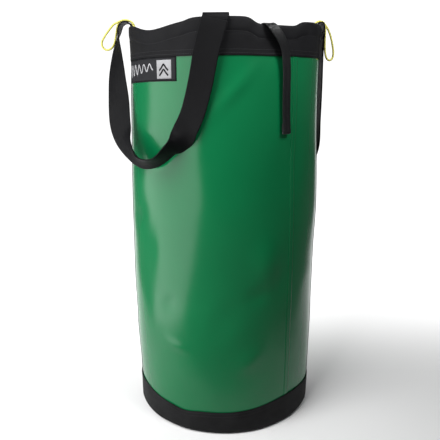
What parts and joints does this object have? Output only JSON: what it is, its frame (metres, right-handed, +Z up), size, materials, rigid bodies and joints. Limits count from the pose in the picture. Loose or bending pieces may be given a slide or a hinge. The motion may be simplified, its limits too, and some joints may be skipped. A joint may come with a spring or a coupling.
{
  "type": "rope storage bag",
  "caption": "Tall round rope bag of coated fabric with a drawstring collar, webbing carry handles, haul loops over the rim and a reinforced flat base.",
  "frame": {"origin": "middle of the base, on the surface that the bag stands on", "axes": "+Z up along the bag's own axis, -Y the front, with the haul loops on the X axis at either side"},
  "size_m": [0.3823, 0.3259, 0.6555],
  "materials": {
    "coated_fabric": "semi-gloss vinyl-coated fabric, green",
    "green_thread": "matte bonded thread, dark green",
    "black_nylon": "matte woven nylon, black",
    "black_thread": "matte bonded thread, black",
    "black_webbing": "ribbed nylon webbing, black",
    "base_fabric": "coarse ballistic nylon, black",
    "label_fabric": "woven label, charcoal",
    "label_print": "light grey print with a plain geometric emblem",
    "yellow_tape": "narrow woven tape, lemon yellow"
  },
  "bodies": {
    "bag": {"body_panel": "coated_fabric", "lap_seam_strip": "coated_fabric", "lap_seam_stitching": "green_thread", "collar": "black_nylon", "collar_stitching": "black_thread", "rim_hem": "black_nylon", "hem_stitching": "black_thread", "drawstring": "black_webbing", "drawstring_buttonhole": "black_thread", "drawstring_exit": "black_webbing", "collar_seam_tape": "black_nylon", "base_panel": "base_fabric", "base_band": "base_fabric", "band_stitching": "black_thread", "base_seam_tape": "black_nylon", "side_webbing_left": "black_webbing", "side_webbing_right": "black_webbing", "label_patch": "label_fabric", "label_border": "black_thread", "label_emblem": "label_print", "front_handle_ends": "black_webbing", "rear_handle_ends": "black_webbing", "handle_bartacks": "black_thread", "haul_loop_ends": "yellow_tape", "rope_tie_tab": "black_webbing"},
    "front_handle": {"front_handle": "black_webbing"},
    "rear_handle": {"rear_handle": "black_webbing"},
    "haul_loop_left": {"haul_loop_left": "yellow_tape"},
    "haul_loop_right": {"haul_loop_right": "yellow_tape"},
    "drawstring_tail": {"drawstring_tail": "black_webbing"},
    "rope_tie_loop": {"rope_tie_loop": "black_webbing"}
  },
  "joints": [
    {"name": "front_handle_swing", "type": "hinge", "parent": "bag", "child": "front_handle", "pos_m": [-0.156, 0, 0.656], "axis": [-0.68, 0.7332, 0], "range_deg": [0, 175]},
    {"name": "rear_handle_swing", "type": "hinge", "parent": "bag", "child": "rear_handle", "pos_m": [0.156, 0, 0.656], "axis": [0.68, -0.7332, 0], "range_deg": [0, 175]},
    {"name": "haul_loop_left_swing", "type": "hinge", "parent": "front_handle", "child": "haul_loop_left", "pos_m": [-0.168, 0, 0.654], "axis": [0, 1, 0], "range_deg": [0, 45]},
    {"name": "haul_loop_right_swing", "type": "hinge", "parent": "rear_handle", "child": "haul_loop_right", "pos_m": [0.168, 0, 0.654], "axis": [0, -1, 0], "range_deg": [0, 45]},
    {"name": "drawstring_tail_swing", "type": "hinge", "parent": "bag", "child": "drawstring_tail", "pos_m": [0.0622, -0.1431, 0.656], "axis": [-0.9171, -0.3987, 0], "range_deg": [0, 165]},
    {"name": "rope_tie_loop_swing", "type": "hinge", "parent": "bag", "child": "rope_tie_loop", "pos_m": [0, 0.146, 0.097], "axis": [-1, 0, 0], "range_deg": [0, 90]}
  ]
}
